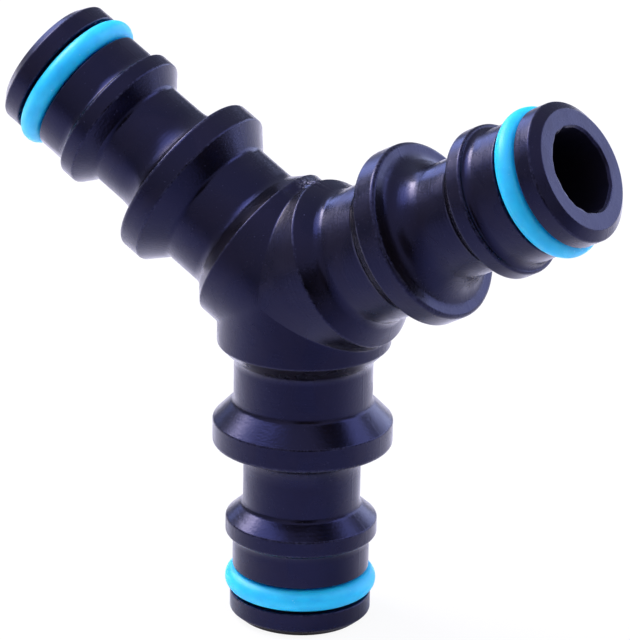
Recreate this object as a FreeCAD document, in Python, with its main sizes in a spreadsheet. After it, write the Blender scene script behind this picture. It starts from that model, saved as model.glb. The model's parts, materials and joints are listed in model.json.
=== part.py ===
import FreeCAD, Part
import os
import Sketcher
from FreeCAD import Placement, Rotation, Vector

# Three-way hose coupling: one moulded body with three equal push-on spigots at 120 degrees,
# and a rubber O-ring in the groove of each spigot. Millimetres, +Z up.
# The coupling stands on the end face of its bottom spigot, whose centre is the origin.

# Driving dimensions. Lengths run along a spigot, from the middle of the hub to the tip.
# The push-on profile, from the flange to the tip, keeps its own sizes, and the shank takes up
# what the spigot's length leaves over.
SIZES = {
    "spigot_length": 40.1,
    "bore_diameter": 9.7,
    "bore_lead_in": 0.25,
    "groove_wall": 1.13,
    "ring_clearance": 0.02,
    "ring_section": 2.5,
    "ring_side_gap": 0.3,
    "ring_proud": 0.75,
    "hub_half_length": 6.95,
    "hub_shoulder": 1.95,
    "hub_chamfer_run": 1.95,
    "shank_radius": 7.85,
    "flange_height": 2.35,
    "flange_cone_run": 2.4,
    "flange_rim_width": 2.7,
    "latch_depth": 1.1,
    "latch_length": 7.35,
    "collar_height": 0.85,
    "collar_cone_run": 1.75,
    "collar_rim_width": 1.9,
    "nose_length": 4.05,
    "tip_step": 0.25,
    "tip_rim_width": 2.05,
    "tip_chamfer_run": 0.9,
    "tip_chamfer_depth": 1.1,
    "edge_round": 0.3,
    "tip_round": 0.15,
    "neck_fillet": 0.8,
    "flange_root_fillet": 2.1,
    "collar_root_fillet": 0.6,
    "seam_fillet": 0.4,
}

# Sizes that follow from the driving ones
WORKED = {
    "bore_radius": "Sizes.bore_diameter / 2",
    "groove_radius": "Sizes.bore_diameter / 2 + Sizes.groove_wall",
    "groove_width": "Sizes.ring_section + 2 * Sizes.ring_side_gap",
    "ring_inner_radius": "groove_radius + Sizes.ring_clearance",
    "ring_middle_radius": "ring_inner_radius + Sizes.ring_section / 2",
    "nose_radius": "ring_inner_radius + Sizes.ring_section - Sizes.ring_proud",
    "latch_radius": "nose_radius - Sizes.latch_depth",
    "collar_radius": "nose_radius + Sizes.collar_height",
    "tip_rim_radius": "nose_radius + Sizes.tip_step",
    "tip_face_radius": "tip_rim_radius - Sizes.tip_chamfer_depth",
    "hub_radius": "Sizes.shank_radius + Sizes.hub_shoulder",
    "flange_radius": "Sizes.shank_radius + Sizes.flange_height",
    "shank_start": "Sizes.hub_half_length + Sizes.hub_chamfer_run",
    "groove_end": "Sizes.spigot_length - Sizes.tip_rim_width - Sizes.tip_chamfer_run",
    "ring_station": "groove_end - groove_width / 2",
    "collar_end": "groove_end - groove_width - Sizes.nose_length",
    "flange_end": "collar_end - Sizes.collar_rim_width - Sizes.collar_cone_run - Sizes.latch_length",
    "shank_length": "flange_end - Sizes.flange_rim_width - Sizes.flange_cone_run - shank_start",
    "bore_straight": "Sizes.spigot_length - Sizes.bore_lead_in",
    "bore_mouth_radius": "bore_radius + Sizes.bore_lead_in",
}

# A spigot's outline from the hub to the tip: corner, its radius, and its run from the corner before
SPIGOT_OUTLINE = [
    ("hub_middle", "Worked.hub_radius", None),
    ("hub_edge", "Worked.hub_radius", "Sizes.hub_half_length"),
    ("shank_start", "Sizes.shank_radius", "Sizes.hub_chamfer_run"),
    ("shank_end", "Sizes.shank_radius", "Worked.shank_length"),
    ("flange_hub_edge", "Worked.flange_radius", "Sizes.flange_cone_run"),
    ("flange_tip_edge", "Worked.flange_radius", "Sizes.flange_rim_width"),
    ("latch_start", "Worked.latch_radius", None),
    ("latch_end", "Worked.latch_radius", "Sizes.latch_length"),
    ("collar_hub_edge", "Worked.collar_radius", "Sizes.collar_cone_run"),
    ("collar_tip_edge", "Worked.collar_radius", "Sizes.collar_rim_width"),
    ("nose_start", "Worked.nose_radius", None),
    ("nose_end", "Worked.nose_radius", "Sizes.nose_length"),
    ("groove_start", "Worked.groove_radius", None),
    ("groove_end", "Worked.groove_radius", "Worked.groove_width"),
    ("tip_rim_start", "Worked.tip_rim_radius", None),
    ("tip_rim_end", "Worked.tip_rim_radius", "Sizes.tip_rim_width"),
    ("tip_face", "Worked.tip_face_radius", "Sizes.tip_chamfer_run"),
]

# A bore's outline from the hub's middle to the mouth, in the same form
BORE_OUTLINE = [
    ("bore_middle", "Worked.bore_radius", None),
    ("lead_in_start", "Worked.bore_radius", "Worked.bore_straight"),
    ("mouth", "Worked.bore_mouth_radius", "Sizes.bore_lead_in"),
]

# Rounded corners of a spigot, by the radius that they share
ROUNDS = {
    "edge_round": ["hub_edge", "flange_hub_edge", "flange_tip_edge", "collar_hub_edge",
                   "collar_tip_edge", "tip_rim_end"],
    "tip_round": ["nose_end", "tip_rim_start", "tip_face"],
    "neck_fillet": ["shank_start", "shank_end", "latch_end"],
    "flange_root_fillet": ["latch_start"],
    "collar_root_fillet": ["nose_start"],
}

# The spigots, in the order in which equal turns about Y take them round from straight down
SPIGOTS = ["bottom", "left", "right"]


def filled_sheet(doc, name, cells):
    """A sheet with one named cell in each row."""
    sheet = doc.addObject("Spreadsheet::Sheet", name)
    for row, (alias, content) in enumerate(cells.items(), 1):
        sheet.set(f"A{row}", alias.replace("_", " "))
        sheet.set(f"B{row}", content)
        sheet.setAlias(f"B{row}", alias)
    doc.recompute()
    return sheet


def size_of(doc, reference):
    """The number that a reference such as Sizes.ring_section stands for."""
    sheet, alias = reference.split(".")
    return float(getattr(doc.getObject(sheet), alias))


def origin_part(body, role):
    """The body's own origin plane or axis with this role."""
    return next(part for part in body.Origin.OriginFeatures if part.Role == role)


def new_sketch(body, name):
    """An empty sketch on the body's XZ plane: its x is a radius, its y a height."""
    sketch = body.newObject("Sketcher::SketchObject", name)
    sketch.AttachmentSupport = [(origin_part(body, "XZ_Plane"), "")]
    sketch.MapMode = "FlatFace"
    return sketch


def bind(sketch, constraint, reference):
    """Adds a constraint whose value is bound to a cell."""
    index = sketch.addConstraint(constraint)
    sketch.setExpression(f"Constraints[{index}]", reference)


def draw_outline(doc, sketch, outline):
    """Draws half a section from the axis, round the outline's corners and back to the axis.

    Returns each corner's line, which starts at that corner.
    """
    height = 0.0
    corners = [Vector(0, 0, 0)]
    for _, radius, run in outline:
        height -= size_of(doc, run) if run else 0.0
        corners.append(Vector(size_of(doc, radius), height, 0))
    corners.append(Vector(0, height, 0))

    lines = []
    for start, end in zip(corners, corners[1:] + corners[:1]):
        lines.append(sketch.addGeometry(Part.LineSegment(start, end), False))
    for line, following in zip(lines, lines[1:] + lines[:1]):
        sketch.addConstraint(Sketcher.Constraint("Coincident", line, 2, following, 1))
    sketch.addConstraint(Sketcher.Constraint("Coincident", lines[0], 1, -1, 1))
    sketch.addConstraint(Sketcher.Constraint("PointOnObject", lines[-1], 1, -2))
    sketch.addConstraint(Sketcher.Constraint("Horizontal", lines[0]))
    sketch.addConstraint(Sketcher.Constraint("Horizontal", lines[-2]))

    for line, (_, radius, run) in enumerate(outline, 1):
        value = size_of(doc, radius)
        bind(sketch, Sketcher.Constraint("DistanceX", -1, 1, lines[line], 1, value), radius)
        if run:
            value = size_of(doc, run)
            bind(sketch, Sketcher.Constraint("DistanceY", lines[line], 1, lines[line - 1], 1, value), run)
        elif line > 1:
            sketch.addConstraint(Sketcher.Constraint("Horizontal", lines[line - 1]))
    return {corner: lines[line] for line, (corner, _, _) in enumerate(outline, 1)}


def turned(body, kind, name, sketch):
    """The sketch turned once round the body's Z axis, as an added or a cut form."""
    feature = body.newObject(kind, name)
    feature.Profile = sketch
    feature.ReferenceAxis = (sketch, ["V_Axis"])
    feature.Angle = 360.0
    return feature


def patterned(body, name, mode, original):
    """The original, or the whole body so far, repeated round the hub about Y."""
    pattern = body.newObject("PartDesign::PolarPattern", name)
    pattern.TransformMode = mode
    if mode == "Features":
        pattern.Originals = [original]
    pattern.Axis = (origin_part(body, "Y_Axis"), [""])
    pattern.Angle = 360.0
    pattern.Occurrences = len(SPIGOTS)
    body.Tip = pattern
    return pattern


def circles_at(shape, points):
    """Names of the shape's circles round Z that pass through the points."""
    names = []
    for number, edge in enumerate(shape.Edges, 1):
        if edge.Curve.TypeId != "Part::GeomCircle":
            continue
        circle = edge.Curve
        for point in points:
            if abs(circle.Radius - point.x) < 1e-4 and abs(circle.Center.z - point.y) < 1e-4:
                names.append(f"Edge{number}")
    return names


def seams_of(shape):
    """Names of the half ellipses along which the spigots' hub ends meet."""
    return [f"Edge{number}" for number, edge in enumerate(shape.Edges, 1)
            if edge.Curve.TypeId == "Part::GeomEllipse"]


def rounded(doc, body, name, base, edges, count):
    """The base with this many edges rounded by the radius of this name."""
    if len(edges) != count:
        raise ValueError(f"{name}: found {len(edges)} of {count} edges")
    fillet = body.newObject("PartDesign::Fillet", name)
    fillet.Base = (base, edges)
    fillet.setExpression("Radius", f"Sizes.{name}")
    doc.recompute()
    return fillet


def coupling_body(doc):
    """The moulded body: one spigot turned and rounded, three of them joined, then the bores."""
    body = doc.addObject("PartDesign::Body", "coupling_body")
    body.Label = "coupling_body"

    section = new_sketch(body, "spigot_section")
    corner_lines = draw_outline(doc, section, SPIGOT_OUTLINE)
    solid = turned(body, "PartDesign::Revolution", "spigot", section)
    doc.recompute()
    for radius, corners in ROUNDS.items():
        points = [section.getPoint(corner_lines[corner], 1) for corner in corners]
        edges = circles_at(solid.Shape, points)
        solid = rounded(doc, body, radius, solid, edges, len(points))
    joined = patterned(body, "spigots", "Whole shape", solid)
    doc.recompute()
    if joined.Shape.Volume <= solid.Shape.Volume:
        raise ValueError("the spigots didn't join")
    joined = rounded(doc, body, "seam_fillet", joined, seams_of(joined.Shape), 2 * len(SPIGOTS))

    bore_section = new_sketch(body, "bore_section")
    draw_outline(doc, bore_section, BORE_OUTLINE)
    bore = turned(body, "PartDesign::Groove", "bore", bore_section)
    doc.recompute()
    if bore.Shape.Volume >= joined.Shape.Volume:
        raise ValueError("the bore cut nothing")
    bores = patterned(body, "bores", "Features", bore)
    doc.recompute()
    if bores.Shape.Volume >= bore.Shape.Volume:
        raise ValueError("the other bores cut nothing")

    body.setExpression("Placement.Base.z", "Sizes.spigot_length")
    return body


def o_ring(doc, place):
    """A rubber ring that lies on the bottom of one spigot's groove."""
    body = doc.addObject("PartDesign::Body", f"o_ring_{place}")
    body.Label = f"o_ring_{place}"

    sketch = new_sketch(body, f"ring_section_{place}")
    radius = size_of(doc, "Sizes.ring_section") / 2
    middle = size_of(doc, "Worked.ring_middle_radius")
    station = size_of(doc, "Worked.ring_station")
    circle = sketch.addGeometry(Part.Circle(Vector(middle, -station, 0), Vector(0, 0, 1), radius), False)
    bind(sketch, Sketcher.Constraint("Radius", circle, radius), "Sizes.ring_section / 2")
    bind(sketch, Sketcher.Constraint("DistanceX", -1, 1, circle, 3, middle), "Worked.ring_middle_radius")
    bind(sketch, Sketcher.Constraint("DistanceY", circle, 3, -1, 1, station), "Worked.ring_station")
    turned(body, "PartDesign::Revolution", f"ring_{place}", sketch)

    angle = 360.0 / len(SPIGOTS) * SPIGOTS.index(place)
    body.Placement = Placement(Vector(0, 0, 0), Rotation(Vector(0, 1, 0), angle))
    body.setExpression("Placement.Base.z", "Sizes.spigot_length")
    return body


def check(doc, bodies):
    """Stops if any object failed or any body isn't one sound solid."""
    for item in doc.Objects:
        if "Invalid" in item.State or "Error" in item.State:
            raise ValueError(f"{item.Name} is {item.State}")
    for body in bodies:
        shape = body.Shape
        if shape.isNull() or not shape.isValid() or len(shape.Solids) != 1:
            raise ValueError(f"{body.Label} isn't one valid solid")
        print(f"{body.Label}: {shape.Volume / 1000:.3f} cm3")


def main():
    doc = FreeCAD.newDocument("three_way_hose_coupling")
    filled_sheet(doc, "Sizes", {name: str(value) for name, value in SIZES.items()})
    filled_sheet(doc, "Worked", {name: f"={formula}" for name, formula in WORKED.items()})

    bodies = [coupling_body(doc)] + [o_ring(doc, place) for place in SPIGOTS]
    doc.recompute()
    check(doc, bodies)

    os.makedirs("parts", exist_ok=True)
    for body in bodies:
        body.Shape.exportStep(f"parts/{body.Label}.step")


main()
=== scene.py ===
import json
import math
import bpy
from mathutils import Matrix, Vector

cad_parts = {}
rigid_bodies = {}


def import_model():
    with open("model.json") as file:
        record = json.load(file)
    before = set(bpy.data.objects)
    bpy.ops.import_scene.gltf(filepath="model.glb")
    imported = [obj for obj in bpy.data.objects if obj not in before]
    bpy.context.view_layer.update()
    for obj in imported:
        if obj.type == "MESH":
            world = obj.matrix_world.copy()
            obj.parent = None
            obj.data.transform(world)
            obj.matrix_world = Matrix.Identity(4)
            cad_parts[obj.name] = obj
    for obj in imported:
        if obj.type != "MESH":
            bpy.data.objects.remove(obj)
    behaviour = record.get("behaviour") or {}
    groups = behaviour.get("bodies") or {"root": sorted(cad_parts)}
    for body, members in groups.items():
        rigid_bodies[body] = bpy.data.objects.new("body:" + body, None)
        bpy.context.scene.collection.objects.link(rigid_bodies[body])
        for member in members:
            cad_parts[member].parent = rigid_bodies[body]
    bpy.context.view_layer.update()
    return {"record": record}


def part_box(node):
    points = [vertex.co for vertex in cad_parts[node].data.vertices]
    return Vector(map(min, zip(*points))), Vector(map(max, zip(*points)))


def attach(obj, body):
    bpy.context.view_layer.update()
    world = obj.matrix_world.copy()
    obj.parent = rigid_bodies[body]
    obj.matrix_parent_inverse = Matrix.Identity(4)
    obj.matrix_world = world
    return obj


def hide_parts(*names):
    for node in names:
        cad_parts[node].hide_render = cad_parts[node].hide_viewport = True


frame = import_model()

mm = 0.001

# The bottom bore's mount starts at the hub's middle and runs towards the tip, so it says where the hub is
boreMount = next(mount for mount in frame["record"]["mounts"] if mount["name"] == "bore_bottom")
boreMiddle = Vector(boreMount["pos_m"])
boreAxis = Vector(boreMount["axis"])
hubPoint = boreMiddle - boreAxis * boreMount["dims"]["length_mm"] * mm / 2
spigots = ["bottom", "left", "right"]


# adds a node with its settings, and its inputs as values or as links from other nodes
def addNode(tree, kind, inputs=None, **settings):
    node = tree.nodes.new(kind)
    for name, value in settings.items():
        setattr(node, name, value)
    for socket, value in (inputs or {}).items():
        if isinstance(value, bpy.types.Node):
            value = next(output for output in value.outputs if output.enabled)
        if isinstance(value, bpy.types.NodeSocket):
            tree.links.new(value, node.inputs[socket])
        else:
            node.inputs[socket].default_value = value
    return node


def linear(hexColour):
    channels = [int(hexColour[i:i + 2], 16) / 255 for i in (1, 3, 5)]
    return [c / 12.92 if c <= 0.04045 else ((c + 0.055) / 1.055) ** 2.4 for c in channels] + [1.0]


# the direction away from the hub at an azimuth and an elevation in degrees
def wayOut(azimuth, elevation):
    azimuth, elevation = math.radians(azimuth), math.radians(elevation)
    return Vector((math.sin(azimuth) * math.cos(elevation), -math.cos(azimuth) * math.cos(elevation),
                   math.sin(elevation)))


def newMaterial(name):
    material = bpy.data.materials.new(name)
    material.use_nodes = True
    material.node_tree.nodes.clear()
    return material, material.node_tree


# a geometry tree with its named inputs, each with the kind of its socket; madeByTree gives their values
def newGeometryTree(name, inputs):
    tree = bpy.data.node_groups.new(name, "GeometryNodeTree")
    tree.interface.new_socket("Geometry", in_out="INPUT", socket_type="NodeSocketGeometry")
    for label, kind in inputs.items():
        tree.interface.new_socket(label, in_out="INPUT", socket_type="NodeSocket" + kind)
    tree.interface.new_socket("Geometry", in_out="OUTPUT", socket_type="NodeSocketGeometry")
    return tree, tree.nodes.new("NodeGroupInput")


# runs a geometry tree on a mesh and leaves the result as a plain mesh object
def madeByTree(name, mesh, tree, values):
    piece = bpy.data.objects.new(name, mesh)
    bpy.context.scene.collection.objects.link(piece)
    modifier = piece.modifiers.new(tree.name, "NODES")
    modifier.node_group = tree
    for item in tree.interface.items_tree:
        if item.item_type == "SOCKET" and item.in_out == "INPUT" and item.name in values:
            modifier[item.identifier] = values[item.name]
    bpy.context.view_layer.update()
    graph = bpy.context.evaluated_depsgraph_get()
    made = bpy.data.meshes.new_from_object(piece.evaluated_get(graph), depsgraph=graph)
    piece.modifiers.remove(modifier)
    piece.data = made
    made.name = name
    return piece


# Polypropylene, injection moulded in a steel tool that was turned and lightly etched. To the eye: a satin
# navy skin whose pigment tints the light it returns, faint rings from the turning, a fine grain that breaks
# up the highlights, soft patches from the melt's flow, and pale scuffs on the edges that stand proud.
# Sizes and heights of the patterns are in millimetres
polypropyleneLook = {
    "colour": "#07060a",
    "flowColour": "#0d090a",    # where the melt's flow spread the blue pigment thinner
    "sheen": "#9ca2ff",
    "scuffColour": "#2b2c3c",
    "tornColour": "#8b8c9c",
    "ior": 1.49,
    "reflectance": 0.42,
    "roughness": (0.2, 0.34),
    "coneRoughness": 0.25,
    "scuffRoughness": 0.5,
    "boreRoughness": 0.6,       # the core pins that leave the bores are pulled out along them
    "flowSize": 5.0,
    "flowRange": (0.38, 0.62),  # a pattern's range is where its noise starts to show and where it is full
    "turningSize": 0.35,        # turning marks are 0.05 to 0.1 mm apart, drawn coarser so that they show
    "turningHeight": 0.008,
    "coneTurningHeight": 0.005,
    "grainSize": 0.3,           # the etched grain is about 0.1 mm, drawn coarser so that it shows
    "grainHeight": 0.013,
    "coneGrainHeight": 0.018,   # the cones were etched more coarsely
    "sinkSize": 3.0,            # shallow waves where the thick plastic shrank unevenly
    "sinkHeight": 0.045,
    "scuffSize": 0.45,
    "scuffRange": (0.45, 0.75),
    "speckSize": 0.25,
    "speckRange": (0.74, 0.8),
}


def mouldedPolypropylene():
    look = polypropyleneLook
    material, tree = newMaterial("mouldedPolypropylene")
    place = addNode(tree, "ShaderNodeTexCoord").outputs["Object"]
    run = addNode(tree, "ShaderNodeAttribute", attribute_name="outlineRun").outputs["Fac"]
    edge = addNode(tree, "ShaderNodeAttribute", attribute_name="proudEdge").outputs["Fac"]
    torn = addNode(tree, "ShaderNodeAttribute", attribute_name="tornGate").outputs["Fac"]
    bore = addNode(tree, "ShaderNodeAttribute", attribute_name="boreWall").outputs["Fac"]
    cone = addNode(tree, "ShaderNodeAttribute", attribute_name="coarseCone").outputs["Fac"]

    flow = addNode(tree, "ShaderNodeTexNoise",
                   {"Vector": place, "Scale": 1 / (look["flowSize"] * mm), "Detail": 3.0,
                    "Distortion": 0.8})
    turning = addNode(tree, "ShaderNodeTexNoise",
                      {"W": run, "Scale": 1 / look["turningSize"], "Detail": 2.0}, noise_dimensions="1D")
    grain = addNode(tree, "ShaderNodeTexNoise",
                    {"Vector": place, "Scale": 1 / (look["grainSize"] * mm), "Detail": 2.0})
    wear = addNode(tree, "ShaderNodeTexNoise",
                   {"Vector": place, "Scale": 1 / (look["scuffSize"] * mm), "Detail": 4.0,
                    "Roughness": 0.65})
    speck = addNode(tree, "ShaderNodeTexNoise",
                    {"Vector": place, "Scale": 1 / (look["speckSize"] * mm), "Detail": 1.0})
    sink = addNode(tree, "ShaderNodeTexNoise",
                   {"Vector": place, "Scale": 1 / (look["sinkSize"] * mm), "Detail": 1.0})

    flowLow, flowHigh = look["flowRange"]
    scuffLow, scuffHigh = look["scuffRange"]
    speckLow, speckHigh = look["speckRange"]
    flowShare = addNode(tree, "ShaderNodeMapRange",
                        {"Value": flow, "From Min": flowLow, "From Max": flowHigh})
    wornEdge = addNode(tree, "ShaderNodeMapRange",
                       {"Value": wear, "From Min": scuffLow, "From Max": scuffHigh})
    edgeScuff = addNode(tree, "ShaderNodeMath", {0: edge, 1: wornEdge}, operation="MULTIPLY")
    tornScuff = addNode(tree, "ShaderNodeMath", {0: torn, 1: wornEdge}, operation="MULTIPLY")
    speckShare = addNode(tree, "ShaderNodeMapRange",
                         {"Value": speck, "From Min": speckLow, "From Max": speckHigh})
    strongest = addNode(tree, "ShaderNodeMath", {0: edgeScuff, 1: tornScuff}, operation="MAXIMUM")
    scuff = addNode(tree, "ShaderNodeMath", {0: strongest, 1: speckShare}, operation="MAXIMUM")

    skin = addNode(tree, "ShaderNodeMix",
                   {0: flowShare, 6: linear(look["colour"]), 7: linear(look["flowColour"])}, data_type="RGBA")
    scuffed = addNode(tree, "ShaderNodeMix", {0: scuff, 6: skin, 7: linear(look["scuffColour"])},
                      data_type="RGBA")
    colour = addNode(tree, "ShaderNodeMix", {0: tornScuff, 6: scuffed, 7: linear(look["tornColour"])},
                     data_type="RGBA")
    smoothest, roughest = look["roughness"]
    skinRoughness = addNode(tree, "ShaderNodeMapRange",
                            {"Value": flowShare, "To Min": smoothest, "To Max": roughest})
    etchedRoughness = addNode(tree, "ShaderNodeMix", {0: cone, 2: skinRoughness, 3: look["coneRoughness"]})
    scuffedRoughness = addNode(tree, "ShaderNodeMix",
                               {0: scuff, 2: etchedRoughness, 3: look["scuffRoughness"]})
    roughness = addNode(tree, "ShaderNodeMix", {0: bore, 2: scuffedRoughness, 3: look["boreRoughness"]})

    turningHeight = addNode(tree, "ShaderNodeMix",
                            {0: cone, 2: look["turningHeight"], 3: look["coneTurningHeight"]})
    turned = addNode(tree, "ShaderNodeMath", {0: turning, 1: turningHeight}, operation="MULTIPLY")
    grainHeight = addNode(tree, "ShaderNodeMix",
                          {0: cone, 2: look["grainHeight"], 3: look["coneGrainHeight"]})
    grained = addNode(tree, "ShaderNodeMath", {0: grain, 1: grainHeight, 2: turned},
                      operation="MULTIPLY_ADD")
    relief = addNode(tree, "ShaderNodeMath", {0: sink, 1: look["sinkHeight"], 2: grained},
                     operation="MULTIPLY_ADD")
    bump = addNode(tree, "ShaderNodeBump", {"Height": relief, "Distance": mm})
    shader = addNode(tree, "ShaderNodeBsdfPrincipled",
                     {"Base Color": colour, "Roughness": roughness, "IOR": look["ior"], "Normal": bump,
                      "Specular Tint": linear(look["sheen"]), "Specular IOR Level": look["reflectance"]})
    addNode(tree, "ShaderNodeOutputMaterial", {"Surface": shader})
    return material


# Nitrile rubber, compression moulded in a polished tool. To the eye: a saturated sky blue with a soft,
# broad sheen, slightly clouded, with a fine grain and a few specks of dust. Sizes and heights in millimetres
rubberLook = {
    "colour": "#1abfee",
    "cloudColour": "#16b4e6",
    "dustColour": "#9fe2f6",
    "ior": 1.52,
    "reflectance": 0.35,
    "roughness": (0.4, 0.52),
    "scatter": 1.0,             # the light rubber lets light through a little way, a millimetre or two
    "scatterReach": (1.0, 2.0, 2.4),
    "cloudSize": 1.6,
    "cloudRange": (0.35, 0.65),
    "grainSize": 0.25,
    "grainHeight": 0.006,
    "dustSize": 0.22,
    "dustRange": (0.76, 0.82),
}


def mouldedNitrile():
    look = rubberLook
    material, tree = newMaterial("mouldedNitrile")
    place = addNode(tree, "ShaderNodeTexCoord").outputs["Object"]
    cloud = addNode(tree, "ShaderNodeTexNoise",
                    {"Vector": place, "Scale": 1 / (look["cloudSize"] * mm), "Detail": 3.0})
    grain = addNode(tree, "ShaderNodeTexNoise",
                    {"Vector": place, "Scale": 1 / (look["grainSize"] * mm), "Detail": 2.0})
    dust = addNode(tree, "ShaderNodeTexNoise",
                   {"Vector": place, "Scale": 1 / (look["dustSize"] * mm), "Detail": 1.0})
    cloudLow, cloudHigh = look["cloudRange"]
    dustLow, dustHigh = look["dustRange"]
    cloudShare = addNode(tree, "ShaderNodeMapRange",
                         {"Value": cloud, "From Min": cloudLow, "From Max": cloudHigh})
    dustShare = addNode(tree, "ShaderNodeMapRange",
                        {"Value": dust, "From Min": dustLow, "From Max": dustHigh})
    clouded = addNode(tree, "ShaderNodeMix",
                      {0: cloudShare, 6: linear(look["colour"]), 7: linear(look["cloudColour"])},
                      data_type="RGBA")
    colour = addNode(tree, "ShaderNodeMix", {0: dustShare, 6: clouded, 7: linear(look["dustColour"])},
                     data_type="RGBA")
    smoothest, roughest = look["roughness"]
    roughness = addNode(tree, "ShaderNodeMapRange",
                        {"Value": cloudShare, "To Min": smoothest, "To Max": roughest})
    relief = addNode(tree, "ShaderNodeMath", {0: grain, 1: look["grainHeight"]}, operation="MULTIPLY")
    bump = addNode(tree, "ShaderNodeBump", {"Height": relief, "Distance": mm})
    shader = addNode(tree, "ShaderNodeBsdfPrincipled",
                     {"Base Color": colour, "Roughness": roughness, "IOR": look["ior"], "Normal": bump,
                      "Specular IOR Level": look["reflectance"], "Subsurface Weight": look["scatter"],
                      "Subsurface Radius": look["scatterReach"], "Subsurface Scale": mm})
    addNode(tree, "ShaderNodeOutputMaterial", {"Surface": shader})
    return material


# Coupling body: radii and lengths along a spigot, in millimetres. The main sizes are the CAD's, and a few
# runs and roundings follow the photograph more closely
bodySizes = {
    "spigotLength": 40.1,
    "boreRadius": 4.85,
    "boreLeadIn": 0.25,
    "burrHeight": 0.16,         # the bore is uneven towards its mouth, where the core pin's seat is worn
    "burrSize": 1.5,
    "burrRange": (0.4, 0.65),
    "burrReach": 3.0,
    "grooveRadius": 5.98,
    "grooveWidth": 3.1,
    "hubHalfLength": 6.95,
    "hubRadius": 9.8,
    "hubChamferRun": 1.95,
    "shankRadius": 7.85,
    "flangeRadius": 10.2,
    "flangeConeRun": 2.4,
    "flangeRimWidth": 2.8,
    "latchRadius": 6.65,
    "latchLength": 7.25,
    "collarRadius": 8.6,
    "collarConeRun": 1.75,
    "collarRimWidth": 1.9,
    "noseRadius": 7.75,
    "noseLength": 4.05,
    "tipRimRadius": 8.0,
    "tipRimWidth": 2.05,
    "tipChamferRun": 0.9,
    "tipFaceRadius": 6.9,
    "edgeRound": 0.3,
    "flangeRimRound": 0.45,
    "collarRimRound": 0.3,
    "tipRound": 0.15,
    "grooveRound": 0.1,
    "shoulderFillet": 1.5,
    "neckFillet": 0.8,
    "flangeRootFillet": 2.4,
    "flangeRootStretch": 1.35,  # how much further a root's fillet runs along the spigot than it rises
    "collarRootFillet": 0.5,
    "collarRootStretch": 2.0,
    "seamFillet": 0.4,
    "partingHeight": 0.014,     # the flash line that the mould's two halves leave
    "partingHalfWidth": 0.12,
    "gatePlace": (0.2, 0.1, 11.7),  # from the hub's middle: in the crotch between the upper spigots
    "gateRadius": 1.7,
    "gateHeight": 0.6,
    "tearSize": 0.35,
    "tearRange": (0.35, 0.65),
    "hollowPlace": (-0.6, -2.3, 11.3),
    "hollowRadius": 1.5,
    "hollowDepth": 0.35,
    "rowStep": 1.2,             # widest gap between rows on a straight run
    "boreRowStep": 3.0,
    "rowNearRound": 0.06,       # a row this close to a rounding keeps the flat beside it flat
    "roundRows": 4,             # fewest rows in a rounding
    "roundStep": 0.4,
    "segments": 152,
    "gather": 0.7,              # how far the segments gather towards the parting line
    "coneSlope": 0.3,           # a face that leans towards the hub by more than this is an etched cone
    "closeBy": 0.01,            # places nearer than this count as the same
    "mergeGap": 0.002,
}


# corners of a spigot's outline from the hub to the bore: station, radius, rounding, and its stretch if any
def spigotCorners():
    size = bodySizes
    tip = size["spigotLength"]
    grooveEnd = tip - size["tipChamferRun"] - size["tipRimWidth"]
    grooveStart = grooveEnd - size["grooveWidth"]
    collarEnd = grooveStart - size["noseLength"]
    collarStart = collarEnd - size["collarRimWidth"] - size["collarConeRun"]
    flangeEnd = collarStart - size["latchLength"]
    flangeStart = flangeEnd - size["flangeRimWidth"] - size["flangeConeRun"]
    shankStart = size["hubHalfLength"] + size["hubChamferRun"]
    leadIn = size["boreLeadIn"]
    return [
        (0.0, size["hubRadius"], 0.0),
        (size["hubHalfLength"], size["hubRadius"], size["edgeRound"]),
        (shankStart, size["shankRadius"], size["shoulderFillet"]),
        (flangeStart, size["shankRadius"], size["neckFillet"]),
        (flangeStart + size["flangeConeRun"], size["flangeRadius"], size["edgeRound"]),
        (flangeEnd, size["flangeRadius"], size["flangeRimRound"]),
        (flangeEnd, size["latchRadius"], size["flangeRootFillet"], size["flangeRootStretch"]),
        (collarStart, size["latchRadius"], size["neckFillet"]),
        (collarStart + size["collarConeRun"], size["collarRadius"], size["edgeRound"]),
        (collarEnd, size["collarRadius"], size["collarRimRound"]),
        (collarEnd, size["noseRadius"], size["collarRootFillet"], size["collarRootStretch"]),
        (grooveStart, size["noseRadius"], size["tipRound"]),
        (grooveStart, size["grooveRadius"], size["grooveRound"]),
        (grooveEnd, size["grooveRadius"], size["grooveRound"]),
        (grooveEnd, size["tipRimRadius"], size["tipRound"]),
        (tip - size["tipChamferRun"], size["tipRimRadius"], size["edgeRound"]),
        (tip, size["tipFaceRadius"], size["tipRound"]),
        (tip, size["boreRadius"] + leadIn, size["grooveRound"]),
        (tip - leadIn, size["boreRadius"], size["grooveRound"]),
        (0.0, size["boreRadius"], 0.0),
    ]


# a row of the outline: its place, the direction square to the way it runs there, if it is on a proud edge
def outlineRow(place, way, proud=0.0):
    return place, Vector((-way.y, way.x)).normalized(), proud


# rows on a straight run, with one near both ends
def straightRows(start, end, step):
    way = end - start
    near = min(bodySizes["rowNearRound"] / way.length, 1 / 3)
    count = math.ceil(way.length * (1 - 2 * near) / step)
    return [outlineRow(start + way * (near + (1 - 2 * near) * i / count), way) for i in range(count + 1)]


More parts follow.
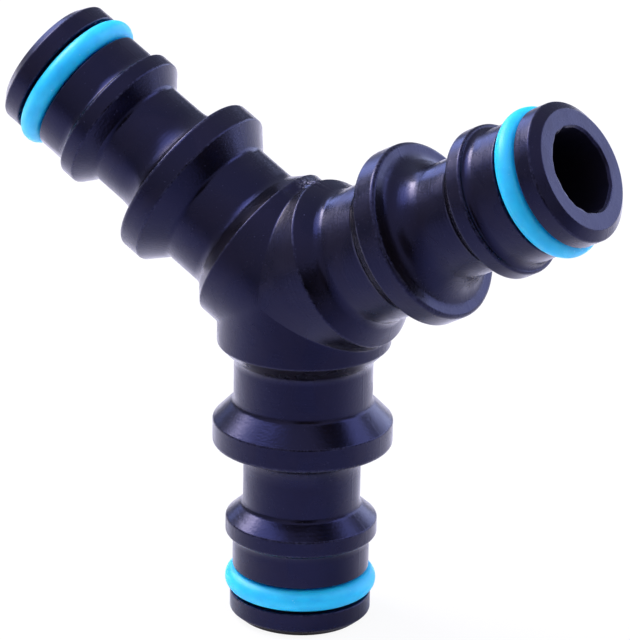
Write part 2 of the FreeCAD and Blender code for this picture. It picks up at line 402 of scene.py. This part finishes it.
# the outline's rows, with its corners rounded as quarters of an ellipse
def outlineRows(corners):
    size = bodySizes
    rows = []
    places = [Vector(corner[:2]) for corner in corners]
    runStart = places[0]
    for before, place, after, corner in zip(places, places[1:], places[2:], corners[1:]):
        back, ahead = (before - place).normalized(), (after - place).normalized()
        back *= corner[2] / math.tan(back.angle(ahead) / 2)
        ahead *= back.length * (corner[3] if len(corner) > 3 else 1.0)
        rows += straightRows(runStart, place + back, size["rowStep"])
        count = max(size["roundRows"], math.ceil((back - ahead).length / size["roundStep"]))
        proud = 1.0 if back.x * ahead.y > back.y * ahead.x else 0.0
        for turn in (math.pi / 2 * i / count for i in range(count + 1)):
            roundPlace = place + back * (1 - math.sin(turn)) + ahead * (1 - math.cos(turn))
            rows.append(outlineRow(roundPlace, ahead * math.sin(turn) - back * math.cos(turn), proud))
        runStart = place + ahead
    return rows + straightRows(runStart, places[-1], size["boreRowStep"])


# the outline as a line mesh: x is the radius and z the station, and each point holds what the tree needs
def outlineMesh():
    size = bodySizes
    corners = spigotCorners()
    rows = outlineRows(corners)
    seamTurns = [i / size["roundRows"] for i in range(size["roundRows"])]
    rows = [(Vector((0.0, size["hubRadius"])), rows[0][1], 0.0) for _ in seamTurns] + rows
    rows.append((Vector((0.0, size["boreRadius"])), rows[-1][1], 0.0))
    places, outwards, prouds = zip(*rows)
    mesh = bpy.data.meshes.new("spigotOutline")
    points = [(place.y * mm, 0.0, place.x * mm) for place in places]
    mesh.from_pydata(points, [(i, i + 1) for i in range(len(points) - 1)], [])

    closeBy = size["closeBy"]
    steep = size["coneSlope"]
    mouth = size["spigotLength"] - size["boreLeadIn"]
    inBore = [place.y < size["boreRadius"] + closeBy and place.x < mouth for place in places]
    inHub = [place.x < size["hubHalfLength"] and not bore for place, bore in zip(places, inBore)]
    onFace = [abs(place.x - size["spigotLength"]) < closeBy or bore for place, bore in zip(places, inBore)]
    nearMouth = [max(0.0, 1 - max(0.0, mouth - place.x) / size["burrReach"]) for place in places]
    inMouth = [place.y < size["boreRadius"] + size["boreLeadIn"] + closeBy for place in places]
    run, along = 0.0, []
    for before, place in zip(places[:1] + places, places):
        run += (place - before).length
        along.append(run)
    values = {
        "seamTurn": seamTurns + [1.0] * (len(rows) - len(seamTurns)),
        "seamFillet": [size["seamFillet"] * mm if hub else 0.0 for hub in inHub],
        "parting": [0.0 if face else 1.0 for face in onFace],
        "outlineRun": along,
        "proudEdge": prouds,
        "boreWall": [1.0 if bore else 0.0 for bore in inBore],
        "boreMouth": [near if inside else 0.0 for near, inside in zip(nearMouth, inMouth)],
        "coarseCone": [1.0 if way.x < -steep and way.y > steep else 0.0 for way in outwards],
    }
    for name, numbers in values.items():
        mesh.attributes.new(name, "FLOAT", "POINT").data.foreach_set("value", numbers)
    outward = mesh.attributes.new("outward", "FLOAT_VECTOR", "POINT")
    outward.data.foreach_set("vector", [v for way in outwards for v in (way.y, 0.0, way.x)])
    return mesh


# turns the outline into a spigot whose hub end and bore end lie on the planes where the spigots meet,
# and repeats it round the hub
def spigotTree():
    size = bodySizes
    tree, given = newGeometryTree("turnedSpigots", {
        "Segments": "Int",
        "Gather": "Float",
        "Seam Run": "Float",
        "Parting Height": "Float",
        "Parting Half Width": "Float",
        "Burr Height": "Float",
        "Burr Size": "Float",
        "Spigots": "Int",
        "Hub Place": "Vector",
        "Gate Place": "Vector",
        "Gate Radius": "Float",
        "Gate Height": "Float",
        "Tear Size": "Float",
        "Hollow Place": "Vector",
        "Hollow Radius": "Float",
        "Hollow Depth": "Float",
        "Material": "Material",
    })
    lean = math.pi / 6          # the planes where the spigots meet lean this far from square to a spigot
    burrLow, burrHigh = size["burrRange"]
    tearLow, tearHigh = size["tearRange"]
    outline = given.outputs["Geometry"]
    pointCount = addNode(tree, "GeometryNodeAttributeDomainSize", {"Geometry": outline})
    columns = addNode(tree, "ShaderNodeMath", {0: given.outputs["Segments"], 1: 1.0}, operation="ADD")
    grid = addNode(tree, "GeometryNodeMeshGrid",
                   {"Size X": 1.0, "Size Y": 1.0, "Vertices X": columns, "Vertices Y": pointCount})
    place = addNode(tree, "GeometryNodeInputPosition")
    placeParts = addNode(tree, "ShaderNodeSeparateXYZ", {0: place})
    turnShare = addNode(tree, "ShaderNodeMath", {0: placeParts.outputs["X"], 1: 0.5}, operation="ADD")
    rowShare = addNode(tree, "ShaderNodeMath", {0: placeParts.outputs["Y"], 1: 0.5}, operation="ADD")
    lastRow = addNode(tree, "ShaderNodeMath", {0: pointCount, 1: 1.0}, operation="SUBTRACT")
    rowPlace = addNode(tree, "ShaderNodeMath", {0: rowShare, 1: lastRow}, operation="MULTIPLY")
    row = addNode(tree, "FunctionNodeFloatToInt", {0: rowPlace}, rounding_mode="ROUND")

    def outlineValue(name, dataType):
        if name == "position":
            value = addNode(tree, "GeometryNodeInputPosition")
        else:
            value = addNode(tree, "GeometryNodeInputNamedAttribute", {"Name": name}, data_type=dataType)
        return addNode(tree, "GeometryNodeSampleIndex",
                       {"Geometry": outline, "Value": value.outputs[0], "Index": row},
                       data_type=dataType, domain="POINT")

    outlinePlace = addNode(tree, "ShaderNodeSeparateXYZ", {0: outlineValue("position", "FLOAT_VECTOR")})
    outward = addNode(tree, "ShaderNodeSeparateXYZ", {0: outlineValue("outward", "FLOAT_VECTOR")})
    seamTurn = outlineValue("seamTurn", "FLOAT")
    seamFillet = outlineValue("seamFillet", "FLOAT")
    parting = outlineValue("parting", "FLOAT")
    radius, station = outlinePlace.outputs["X"], outlinePlace.outputs["Z"]

    # the angle round the spigot, from the plane of the parting line
    plainTurn = addNode(tree, "ShaderNodeMath", {0: turnShare, 1: 2 * math.pi}, operation="MULTIPLY")
    doubled = addNode(tree, "ShaderNodeMath", {0: plainTurn, 1: 2.0}, operation="MULTIPLY")
    ripple = addNode(tree, "ShaderNodeMath", {0: doubled}, operation="SINE")
    halfGather = addNode(tree, "ShaderNodeMath", {0: given.outputs["Gather"], 1: -0.5},
                         operation="MULTIPLY")
    angle = addNode(tree, "ShaderNodeMath", {0: ripple, 1: halfGather, 2: plainTurn},
                    operation="MULTIPLY_ADD")
    cosine = addNode(tree, "ShaderNodeMath", {0: angle}, operation="COSINE")
    sine = addNode(tree, "ShaderNodeMath", {0: angle}, operation="SINE")
    across = addNode(tree, "ShaderNodeMath", {0: cosine}, operation="ABSOLUTE")

    # a ball in the crease touches both hub ends: its middle, the way to this spigot, the way to the crease
    ballRadius = addNode(tree, "ShaderNodeMath", {0: radius, 1: seamFillet}, operation="ADD")
    seamSlope = addNode(tree, "ShaderNodeMath", {0: across, 1: math.tan(lean)}, operation="MULTIPLY")
    seamStation = addNode(tree, "ShaderNodeMath", {0: ballRadius, 1: seamSlope}, operation="MULTIPLY")
    seamShare = addNode(tree, "ShaderNodeMapRange",
                        {"Value": station, "From Min": 0.0, "From Max": given.outputs["Seam Run"],
                         "To Min": 1.0, "To Max": 0.0})
    movedStation = addNode(tree, "ShaderNodeMath", {0: seamStation, 1: seamShare, 2: station},
                           operation="MULTIPLY_ADD")
    depth = addNode(tree, "ShaderNodeMath", {0: movedStation, 1: -1.0}, operation="MULTIPLY")
    spoke = addNode(tree, "ShaderNodeCombineXYZ", {"X": cosine, "Y": sine})
    inward = addNode(tree, "ShaderNodeVectorMath", {0: spoke, "Scale": -1.0}, operation="SCALE")
    creaseX = addNode(tree, "ShaderNodeMath", {0: cosine, 1: -math.cos(lean) ** 2}, operation="MULTIPLY")
    creaseY = addNode(tree, "ShaderNodeMath", {0: sine, 1: -1.0}, operation="MULTIPLY")
    creaseZ = addNode(tree, "ShaderNodeMath", {0: across, 1: math.cos(lean) * math.sin(lean)},
                      operation="MULTIPLY")
    crease = addNode(tree, "ShaderNodeCombineXYZ", {"X": creaseX, "Y": creaseY, "Z": creaseZ})
    creaseWay = addNode(tree, "ShaderNodeVectorMath", {0: crease}, operation="NORMALIZE")
    mixedWay = addNode(tree, "ShaderNodeMix", {0: seamTurn, 4: creaseWay, 5: inward}, data_type="VECTOR")
    ballWay = addNode(tree, "ShaderNodeVectorMath", {0: mixedWay.outputs[1]}, operation="NORMALIZE")

    ballMiddle = addNode(tree, "ShaderNodeVectorMath", {0: spoke, "Scale": ballRadius}, operation="SCALE")
    spokePlace = addNode(tree, "ShaderNodeVectorMath", {0: spoke, "Scale": radius}, operation="SCALE")
    ballPlace = addNode(tree, "ShaderNodeCombineXYZ", {"Z": depth})
    surface = addNode(tree, "ShaderNodeVectorMath", {0: ballMiddle, 1: ballPlace}, operation="ADD")
    onBall = addNode(tree, "ShaderNodeVectorMath", {0: ballWay, "Scale": seamFillet}, operation="SCALE")
    plainPlace = addNode(tree, "ShaderNodeVectorMath", {0: surface, 1: onBall}, operation="ADD")

    # the flash line stands proud where the mould's halves meet, in the plane of the Y
    offPlane = addNode(tree, "ShaderNodeMath", {0: sine, 1: radius}, operation="MULTIPLY")
    offPlaneSize = addNode(tree, "ShaderNodeMath", {0: offPlane}, operation="ABSOLUTE")
    flash = addNode(tree, "ShaderNodeMapRange",
                    {"Value": offPlaneSize, "From Max": given.outputs["Parting Half Width"],
                     "To Min": given.outputs["Parting Height"], "To Max": 0.0})
    flashHere = addNode(tree, "ShaderNodeMath", {0: flash, 1: parting}, operation="MULTIPLY")
    outRadial = addNode(tree, "ShaderNodeMath", {0: outward.outputs["X"], 1: -1.0}, operation="MULTIPLY")
    outAlong = addNode(tree, "ShaderNodeMath", {0: outward.outputs["Z"], 1: -1.0}, operation="MULTIPLY")
    radialWay = addNode(tree, "ShaderNodeVectorMath", {0: ballWay, "Scale": outRadial}, operation="SCALE")
    alongWay = addNode(tree, "ShaderNodeCombineXYZ", {"Z": outAlong})
    outWay = addNode(tree, "ShaderNodeVectorMath", {0: radialWay, 1: alongWay}, operation="ADD")
    raised = addNode(tree, "ShaderNodeVectorMath", {0: outWay, "Scale": flashHere}, operation="SCALE")
    partedPlace = addNode(tree, "ShaderNodeVectorMath", {0: plainPlace, 1: raised}, operation="ADD")

    # near the mouth the bore's wall comes in unevenly
    burrScale = addNode(tree, "ShaderNodeMath", {0: 1.0, 1: given.outputs["Burr Size"]}, operation="DIVIDE")
    burrNoise = addNode(tree, "ShaderNodeTexNoise",
                        {"Vector": spokePlace, "Scale": burrScale, "Detail": 1.0})
    burrHeight = addNode(tree, "ShaderNodeMapRange",
                         {"Value": burrNoise, "From Min": burrLow, "From Max": burrHigh,
                          "To Max": given.outputs["Burr Height"]})
    burr = addNode(tree, "ShaderNodeMath", {0: burrHeight, 1: outlineValue("boreMouth", "FLOAT")},
                   operation="MULTIPLY")
    burrWay = addNode(tree, "ShaderNodeVectorMath", {0: inward, "Scale": burr}, operation="SCALE")
    finalPlace = addNode(tree, "ShaderNodeVectorMath", {0: partedPlace, 1: burrWay}, operation="ADD")

    # what the material needs from the outline
    marked = grid
    for name in ("outlineRun", "proudEdge", "boreWall", "coarseCone"):
        marked = addNode(tree, "GeometryNodeStoreNamedAttribute",
                         {"Geometry": marked, "Name": name, "Value": outlineValue(name, "FLOAT")},
                         data_type="FLOAT", domain="POINT")
    spigot = addNode(tree, "GeometryNodeSetPosition", {"Geometry": marked, "Position": finalPlace})
    outwards = addNode(tree, "GeometryNodeFlipFaces", {0: spigot})

    # the spigots round the hub
    hubs = addNode(tree, "GeometryNodePoints",
                   {"Count": given.outputs["Spigots"], "Position": given.outputs["Hub Place"]})
    number = addNode(tree, "GeometryNodeInputIndex")
    step = addNode(tree, "ShaderNodeMath", {0: 2 * math.pi, 1: given.outputs["Spigots"]},
                   operation="DIVIDE")
    hubTurn = addNode(tree, "ShaderNodeMath", {0: number, 1: step}, operation="MULTIPLY")
    turns = addNode(tree, "ShaderNodeCombineXYZ", {"Y": hubTurn})
    placed = addNode(tree, "GeometryNodeInstanceOnPoints",
                     {"Points": hubs, "Instance": outwards, "Rotation": turns})
    real = addNode(tree, "GeometryNodeRealizeInstances", {"Geometry": placed})
    merged = addNode(tree, "GeometryNodeMergeByDistance",
                     {"Geometry": real, "Distance": size["mergeGap"] * mm})

    # the gate, where the plastic came in: a torn stub, and beside it the hollow that its cutter left
    def share(centre, reach):
        away = addNode(tree, "ShaderNodeVectorMath", {0: place, 1: given.outputs[centre]},
                       operation="DISTANCE")
        return addNode(tree, "ShaderNodeMapRange",
                       {"Value": away.outputs["Value"], "From Max": given.outputs[reach],
                        "To Min": 1.0, "To Max": 0.0}, interpolation_type="SMOOTHSTEP")

    gateShare = share("Gate Place", "Gate Radius")
    hollowShare = share("Hollow Place", "Hollow Radius")
    tearScale = addNode(tree, "ShaderNodeMath", {0: 1.0, 1: given.outputs["Tear Size"]}, operation="DIVIDE")
    tear = addNode(tree, "ShaderNodeTexNoise", {"Vector": place, "Scale": tearScale, "Detail": 3.0})
    tearHeight = addNode(tree, "ShaderNodeMapRange",
                         {"Value": tear, "From Min": tearLow, "From Max": tearHigh,
                          "To Max": given.outputs["Gate Height"]})
    gateRise = addNode(tree, "ShaderNodeMath", {0: gateShare, 1: tearHeight}, operation="MULTIPLY")
    cutDepth = addNode(tree, "ShaderNodeMath", {0: tear, 1: given.outputs["Hollow Depth"]},
                       operation="MULTIPLY")
    hollowFall = addNode(tree, "ShaderNodeMath", {0: hollowShare, 1: cutDepth}, operation="MULTIPLY")
    rise = addNode(tree, "ShaderNodeMath", {0: gateRise, 1: hollowFall}, operation="SUBTRACT")
    normal = addNode(tree, "GeometryNodeInputNormal")
    lift = addNode(tree, "ShaderNodeVectorMath", {0: normal, "Scale": rise}, operation="SCALE")
    gate = addNode(tree, "GeometryNodeStoreNamedAttribute",
                   {"Geometry": merged, "Name": "tornGate", "Value": gateShare},
                   data_type="FLOAT", domain="POINT")
    gated = addNode(tree, "GeometryNodeSetPosition", {"Geometry": gate, "Offset": lift})
    smooth = addNode(tree, "GeometryNodeSetShadeSmooth", {"Geometry": gated})
    painted = addNode(tree, "GeometryNodeSetMaterial",
                      {"Geometry": smooth, "Material": given.outputs["Material"]})
    addNode(tree, "NodeGroupOutput", {0: painted})
    return tree


def couplingBody(material):
    size = bodySizes
    body = madeByTree("couplingBody", outlineMesh(), spigotTree(), {
        "Segments": size["segments"],
        "Gather": size["gather"],
        "Seam Run": (size["hubHalfLength"] - size["edgeRound"]) * mm,
        "Parting Height": size["partingHeight"] * mm,
        "Parting Half Width": size["partingHalfWidth"] * mm,
        "Burr Height": size["burrHeight"] * mm,
        "Burr Size": size["burrSize"] * mm,
        "Spigots": len(spigots),
        "Hub Place": tuple(hubPoint),
        "Gate Place": tuple(hubPoint + Vector(size["gatePlace"]) * mm),
        "Gate Radius": size["gateRadius"] * mm,
        "Gate Height": size["gateHeight"] * mm,
        "Tear Size": size["tearSize"] * mm,
        "Hollow Place": tuple(hubPoint + Vector(size["hollowPlace"]) * mm),
        "Hollow Radius": size["hollowRadius"] * mm,
        "Hollow Depth": size["hollowDepth"] * mm,
        "Material": material,
    })
    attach(body, "root")
    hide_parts("coupling_body")
    print("coupling body:", len(body.data.vertices), "points")
    return body


# O-rings: their size and place along the spigot come from the bottom ring's box. In millimetres
ringSizes = {
    "spread": 0.03,             # the rubber is pressed a little outwards and wider than drawn in the CAD
    "swell": 0.04,
    "ringSegments": 192,
    "sectionSegments": 40,
}


def ringTree():
    tree, given = newGeometryTree("oRing", {
        "Ring Radius": "Float",
        "Section Radius": "Float",
        "Ring Segments": "Int",
        "Section Segments": "Int",
        "Station": "Vector",
        "Turn": "Vector",
        "Hub Place": "Vector",
        "Material": "Material",
    })
    path = addNode(tree, "GeometryNodeCurvePrimitiveCircle",
                   {"Resolution": given.outputs["Ring Segments"], "Radius": given.outputs["Ring Radius"]})
    section = addNode(tree, "GeometryNodeCurvePrimitiveCircle",
                      {"Resolution": given.outputs["Section Segments"],
                       "Radius": given.outputs["Section Radius"]})
    ring = addNode(tree, "GeometryNodeCurveToMesh", {"Curve": path, "Profile Curve": section})
    inGroove = addNode(tree, "GeometryNodeTransform",
                       {"Geometry": ring, "Translation": given.outputs["Station"]})
    onSpigot = addNode(tree, "GeometryNodeTransform",
                       {"Geometry": inGroove, "Translation": given.outputs["Hub Place"],
                        "Rotation": given.outputs["Turn"]})
    smooth = addNode(tree, "GeometryNodeSetShadeSmooth", {"Geometry": onSpigot})
    painted = addNode(tree, "GeometryNodeSetMaterial",
                      {"Geometry": smooth, "Material": given.outputs["Material"]})
    addNode(tree, "NodeGroupOutput", {0: painted})
    return tree


def oRings(material):
    lowest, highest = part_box("o_ring_bottom")
    sectionRadius = (highest.z - lowest.z) / 2
    tree = ringTree()
    for i, place in enumerate(spigots):
        ring = madeByTree("oRing" + place.capitalize(), bpy.data.meshes.new("ring"), tree, {
            "Ring Radius": (highest.x - lowest.x) / 2 - sectionRadius + ringSizes["spread"] * mm,
            "Section Radius": sectionRadius + ringSizes["swell"] * mm,
            "Ring Segments": ringSizes["ringSegments"],
            "Section Segments": ringSizes["sectionSegments"],
            "Station": (0.0, 0.0, (highest.z + lowest.z) / 2 - hubPoint.z),
            "Turn": (0.0, 2 * math.pi / len(spigots) * i, 0.0),
            "Hub Place": tuple(hubPoint),
            "Material": material,
        })
        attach(ring, "root")
        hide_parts("o_ring_" + place)
    print("O-rings:", len(spigots))


# Camera: fitted to the photograph's outline; angles in degrees, lengths in millimetres
cameraSetup = {
    "azimuth": 31.63,
    "elevation": 20.43,
    "roll": 1.0,
    "distance": 596.2,
    "right": 1.11,          # how far the view's middle is right of and below the hub's middle
    "below": 4.27,
    "lens": 300.0,
}


def studioCamera():
    setup = cameraSetup
    azimuth, roll = math.radians(setup["azimuth"]), math.radians(setup["roll"])
    back = wayOut(setup["azimuth"], setup["elevation"])
    level = Vector((math.cos(azimuth), math.sin(azimuth), 0.0))
    upright = back.cross(level)
    right = level * math.cos(roll) + upright * math.sin(roll)
    up = upright * math.cos(roll) - level * math.sin(roll)
    offset = right * setup["right"] - up * setup["below"] + back * setup["distance"]
    camera = bpy.data.objects.new("studioCamera", bpy.data.cameras.new("studioCamera"))
    bpy.context.scene.collection.objects.link(camera)
    turned = Matrix((right, up, back)).transposed().to_4x4()
    camera.matrix_world = Matrix.Translation(hubPoint + offset * mm) @ turned
    camera.data.lens = setup["lens"]
    bpy.context.scene.camera = camera
    print("camera:", setup["lens"], "mm lens")


# Studio: a floor that the camera sees white, with painted shade that darkens it towards the camera, soft
# lamps, and the dark of the camera and its stand, which glossy parts show.
# Azimuths are measured from the camera, to its right; sizes and distances from the hub are in metres,
# and a lamp's brightness is its radiance
studioSetup = {
    "floorSize": 6.0,
    "floorGap": 0.00002,        # so that the floor and the ring that it carries don't share a plane
    "floorColour": "#f0f0f3",
    "floorPaintedShade": "#aeaeb2",    # painted shade: the floor's colour towards the camera, darker so that glossy parts reflect a dim floor in front
    "floorPaintedShadeRun": (0.01, 0.14),
    "floorGlow": 0.92,          # the camera's share of plain white in the floor
    "horizonStrength": 0.72,
    "zenithStrength": 1.55,
    "backShare": 0.37,          # the room is dim and cool behind the object, and warmer towards the camera
    "frontShare": 1.1,
    "backColour": "#c4cdff",
    "frontColour": "#fff4ea",
    "clothColour": "#101010",
    "cameraStand": {"azimuth": 7, "elevation": 18, "distance": 0.7, "size": (0.5, 0.47)},
    "lamps": {
        "keyLamp": {"azimuth": -125, "elevation": 41, "distance": 0.8, "size": (0.36, 0.2),
                    "brightness": 19.0, "colour": "#ffeed6"},
        "fillLamp": {"azimuth": -118, "elevation": 44, "distance": 0.9, "size": (0.7, 0.5),
                     "brightness": 4.0, "colour": "#cfd7ff"},
        "lowLamp": {"azimuth": -152, "elevation": 21, "distance": 0.9, "size": (0.32, 0.32),
                    "brightness": 3.8, "colour": "#a6b6ff"},
        "topLamp": {"azimuth": -98, "elevation": 66, "distance": 1.0, "size": (0.6, 0.42),
                    "brightness": 4.2, "colour": "#cfd7ff"},
        "rimLamp": {"azimuth": 125, "elevation": 12, "distance": 0.9, "size": (1.0, 0.36),
                    "brightness": 3.2, "colour": "#cfd7ff"},
        "sideLamp": {"azimuth": 93, "elevation": 37, "distance": 1.0, "size": (0.6, 0.4),
                     "brightness": 3.8, "colour": "#cfd7ff"},
    },
}


# puts a lamp or a card where its settings say, facing the hub
def faceHub(name, data, setup):
    away = wayOut(cameraSetup["azimuth"] + setup["azimuth"], setup["elevation"])
    holder = bpy.data.objects.new(name, data)
    bpy.context.scene.collection.objects.link(holder)
    holder.location = hubPoint + away * setup["distance"]
    holder.rotation_euler = away.to_track_quat("Z", "Y").to_euler()
    return holder


def rectangleMesh(name, width, height):
    mesh = bpy.data.meshes.new(name)
    corners = [(-width / 2, -height / 2, 0), (width / 2, -height / 2, 0), (width / 2, height / 2, 0),
               (-width / 2, height / 2, 0)]
    mesh.from_pydata(corners, [], [(0, 1, 2, 3)])
    return mesh


def softLamp(name, lamp):
    light = bpy.data.lights.new(name, "AREA")
    light.shape = "RECTANGLE"
    light.color = linear(lamp["colour"])[:3]
    light.size, light.size_y = lamp["size"]
    light.energy = lamp["brightness"] * math.pi * light.size * light.size_y
    faceHub(name, light, lamp)


def cameraStand():
    stand = studioSetup["cameraStand"]
    mesh = rectangleMesh("cameraStand", *stand["size"])
    material, tree = newMaterial("blackCloth")
    cloth = addNode(tree, "ShaderNodeBsdfDiffuse", {"Color": linear(studioSetup["clothColour"])})
    addNode(tree, "ShaderNodeOutputMaterial", {"Surface": cloth})
    mesh.materials.append(material)
    card = faceHub("cameraStand", mesh, stand)
    card.visible_camera = False


def studio():
    setup = studioSetup
    mesh = rectangleMesh("floor", setup["floorSize"], setup["floorSize"])
    floor = bpy.data.objects.new("floor", mesh)
    floor.location.z = -setup["floorGap"]
    bpy.context.scene.collection.objects.link(floor)
    material, tree = newMaterial("paperPaintedShade")
    place = addNode(tree, "ShaderNodeTexCoord").outputs["Object"]
    forwards = wayOut(cameraSetup["azimuth"], 0.0)
    ahead = addNode(tree, "ShaderNodeVectorMath", {0: place, 1: forwards}, operation="DOT_PRODUCT")
    shadeStart, shadeEnd = setup["floorPaintedShadeRun"]
    # painted shade: the floor's colour darkens towards the camera, so that the body's gloss reflects a dim
    # floor in front
    shade = addNode(tree, "ShaderNodeMapRange",
                    {"Value": ahead.outputs["Value"], "From Min": shadeStart, "From Max": shadeEnd})
    paper = addNode(tree, "ShaderNodeMix",
                    {0: shade, 6: linear(setup["floorColour"]), 7: linear(setup["floorPaintedShade"])},
                    data_type="RGBA")
    diffuse = addNode(tree, "ShaderNodeBsdfDiffuse", {"Color": paper})
    white = addNode(tree, "ShaderNodeEmission", {"Color": linear("#ffffff"), "Strength": 1.0})
    rays = addNode(tree, "ShaderNodeLightPath")
    glow = addNode(tree, "ShaderNodeMath", {0: rays.outputs["Is Camera Ray"], 1: setup["floorGlow"]},
                   operation="MULTIPLY")
    surface = addNode(tree, "ShaderNodeMixShader", {0: glow, 1: diffuse, 2: white})
    addNode(tree, "ShaderNodeOutputMaterial", {"Surface": surface})
    mesh.materials.append(material)

    world = bpy.data.worlds.new("studioWorld")
    world.use_nodes = True
    world.node_tree.nodes.clear()
    way = addNode(world.node_tree, "ShaderNodeTexCoord")
    height = addNode(world.node_tree, "ShaderNodeSeparateXYZ", {0: way.outputs["Generated"]})
    strength = addNode(world.node_tree, "ShaderNodeMapRange",
                       {"Value": height.outputs["Z"], "To Min": setup["horizonStrength"],
                        "To Max": setup["zenithStrength"]})
    towards = addNode(world.node_tree, "ShaderNodeVectorMath",
                      {0: way.outputs["Generated"], 1: forwards}, operation="DOT_PRODUCT")
    front = addNode(world.node_tree, "ShaderNodeMapRange",
                    {"Value": towards.outputs["Value"], "From Min": -1.0, "From Max": 1.0})
    share = addNode(world.node_tree, "ShaderNodeMix",
                    {0: front, 2: setup["backShare"], 3: setup["frontShare"]})
    sharedStrength = addNode(world.node_tree, "ShaderNodeMath", {0: strength, 1: share},
                             operation="MULTIPLY")
    airColour = addNode(world.node_tree, "ShaderNodeMix",
                        {0: front, 6: linear(setup["backColour"]), 7: linear(setup["frontColour"])},
                        data_type="RGBA")
    air = addNode(world.node_tree, "ShaderNodeBackground", {"Color": airColour, "Strength": sharedStrength})
    addNode(world.node_tree, "ShaderNodeOutputWorld", {"Surface": air})
    bpy.context.scene.world = world
    for name, lamp in setup["lamps"].items():
        softLamp(name, lamp)
    cameraStand()
    print("studio:", len(setup["lamps"]), "lamps")


studioCamera()
couplingBody(mouldedPolypropylene())
oRings(mouldedNitrile())
studio()
bpy.context.scene.view_settings.view_transform = "Standard"
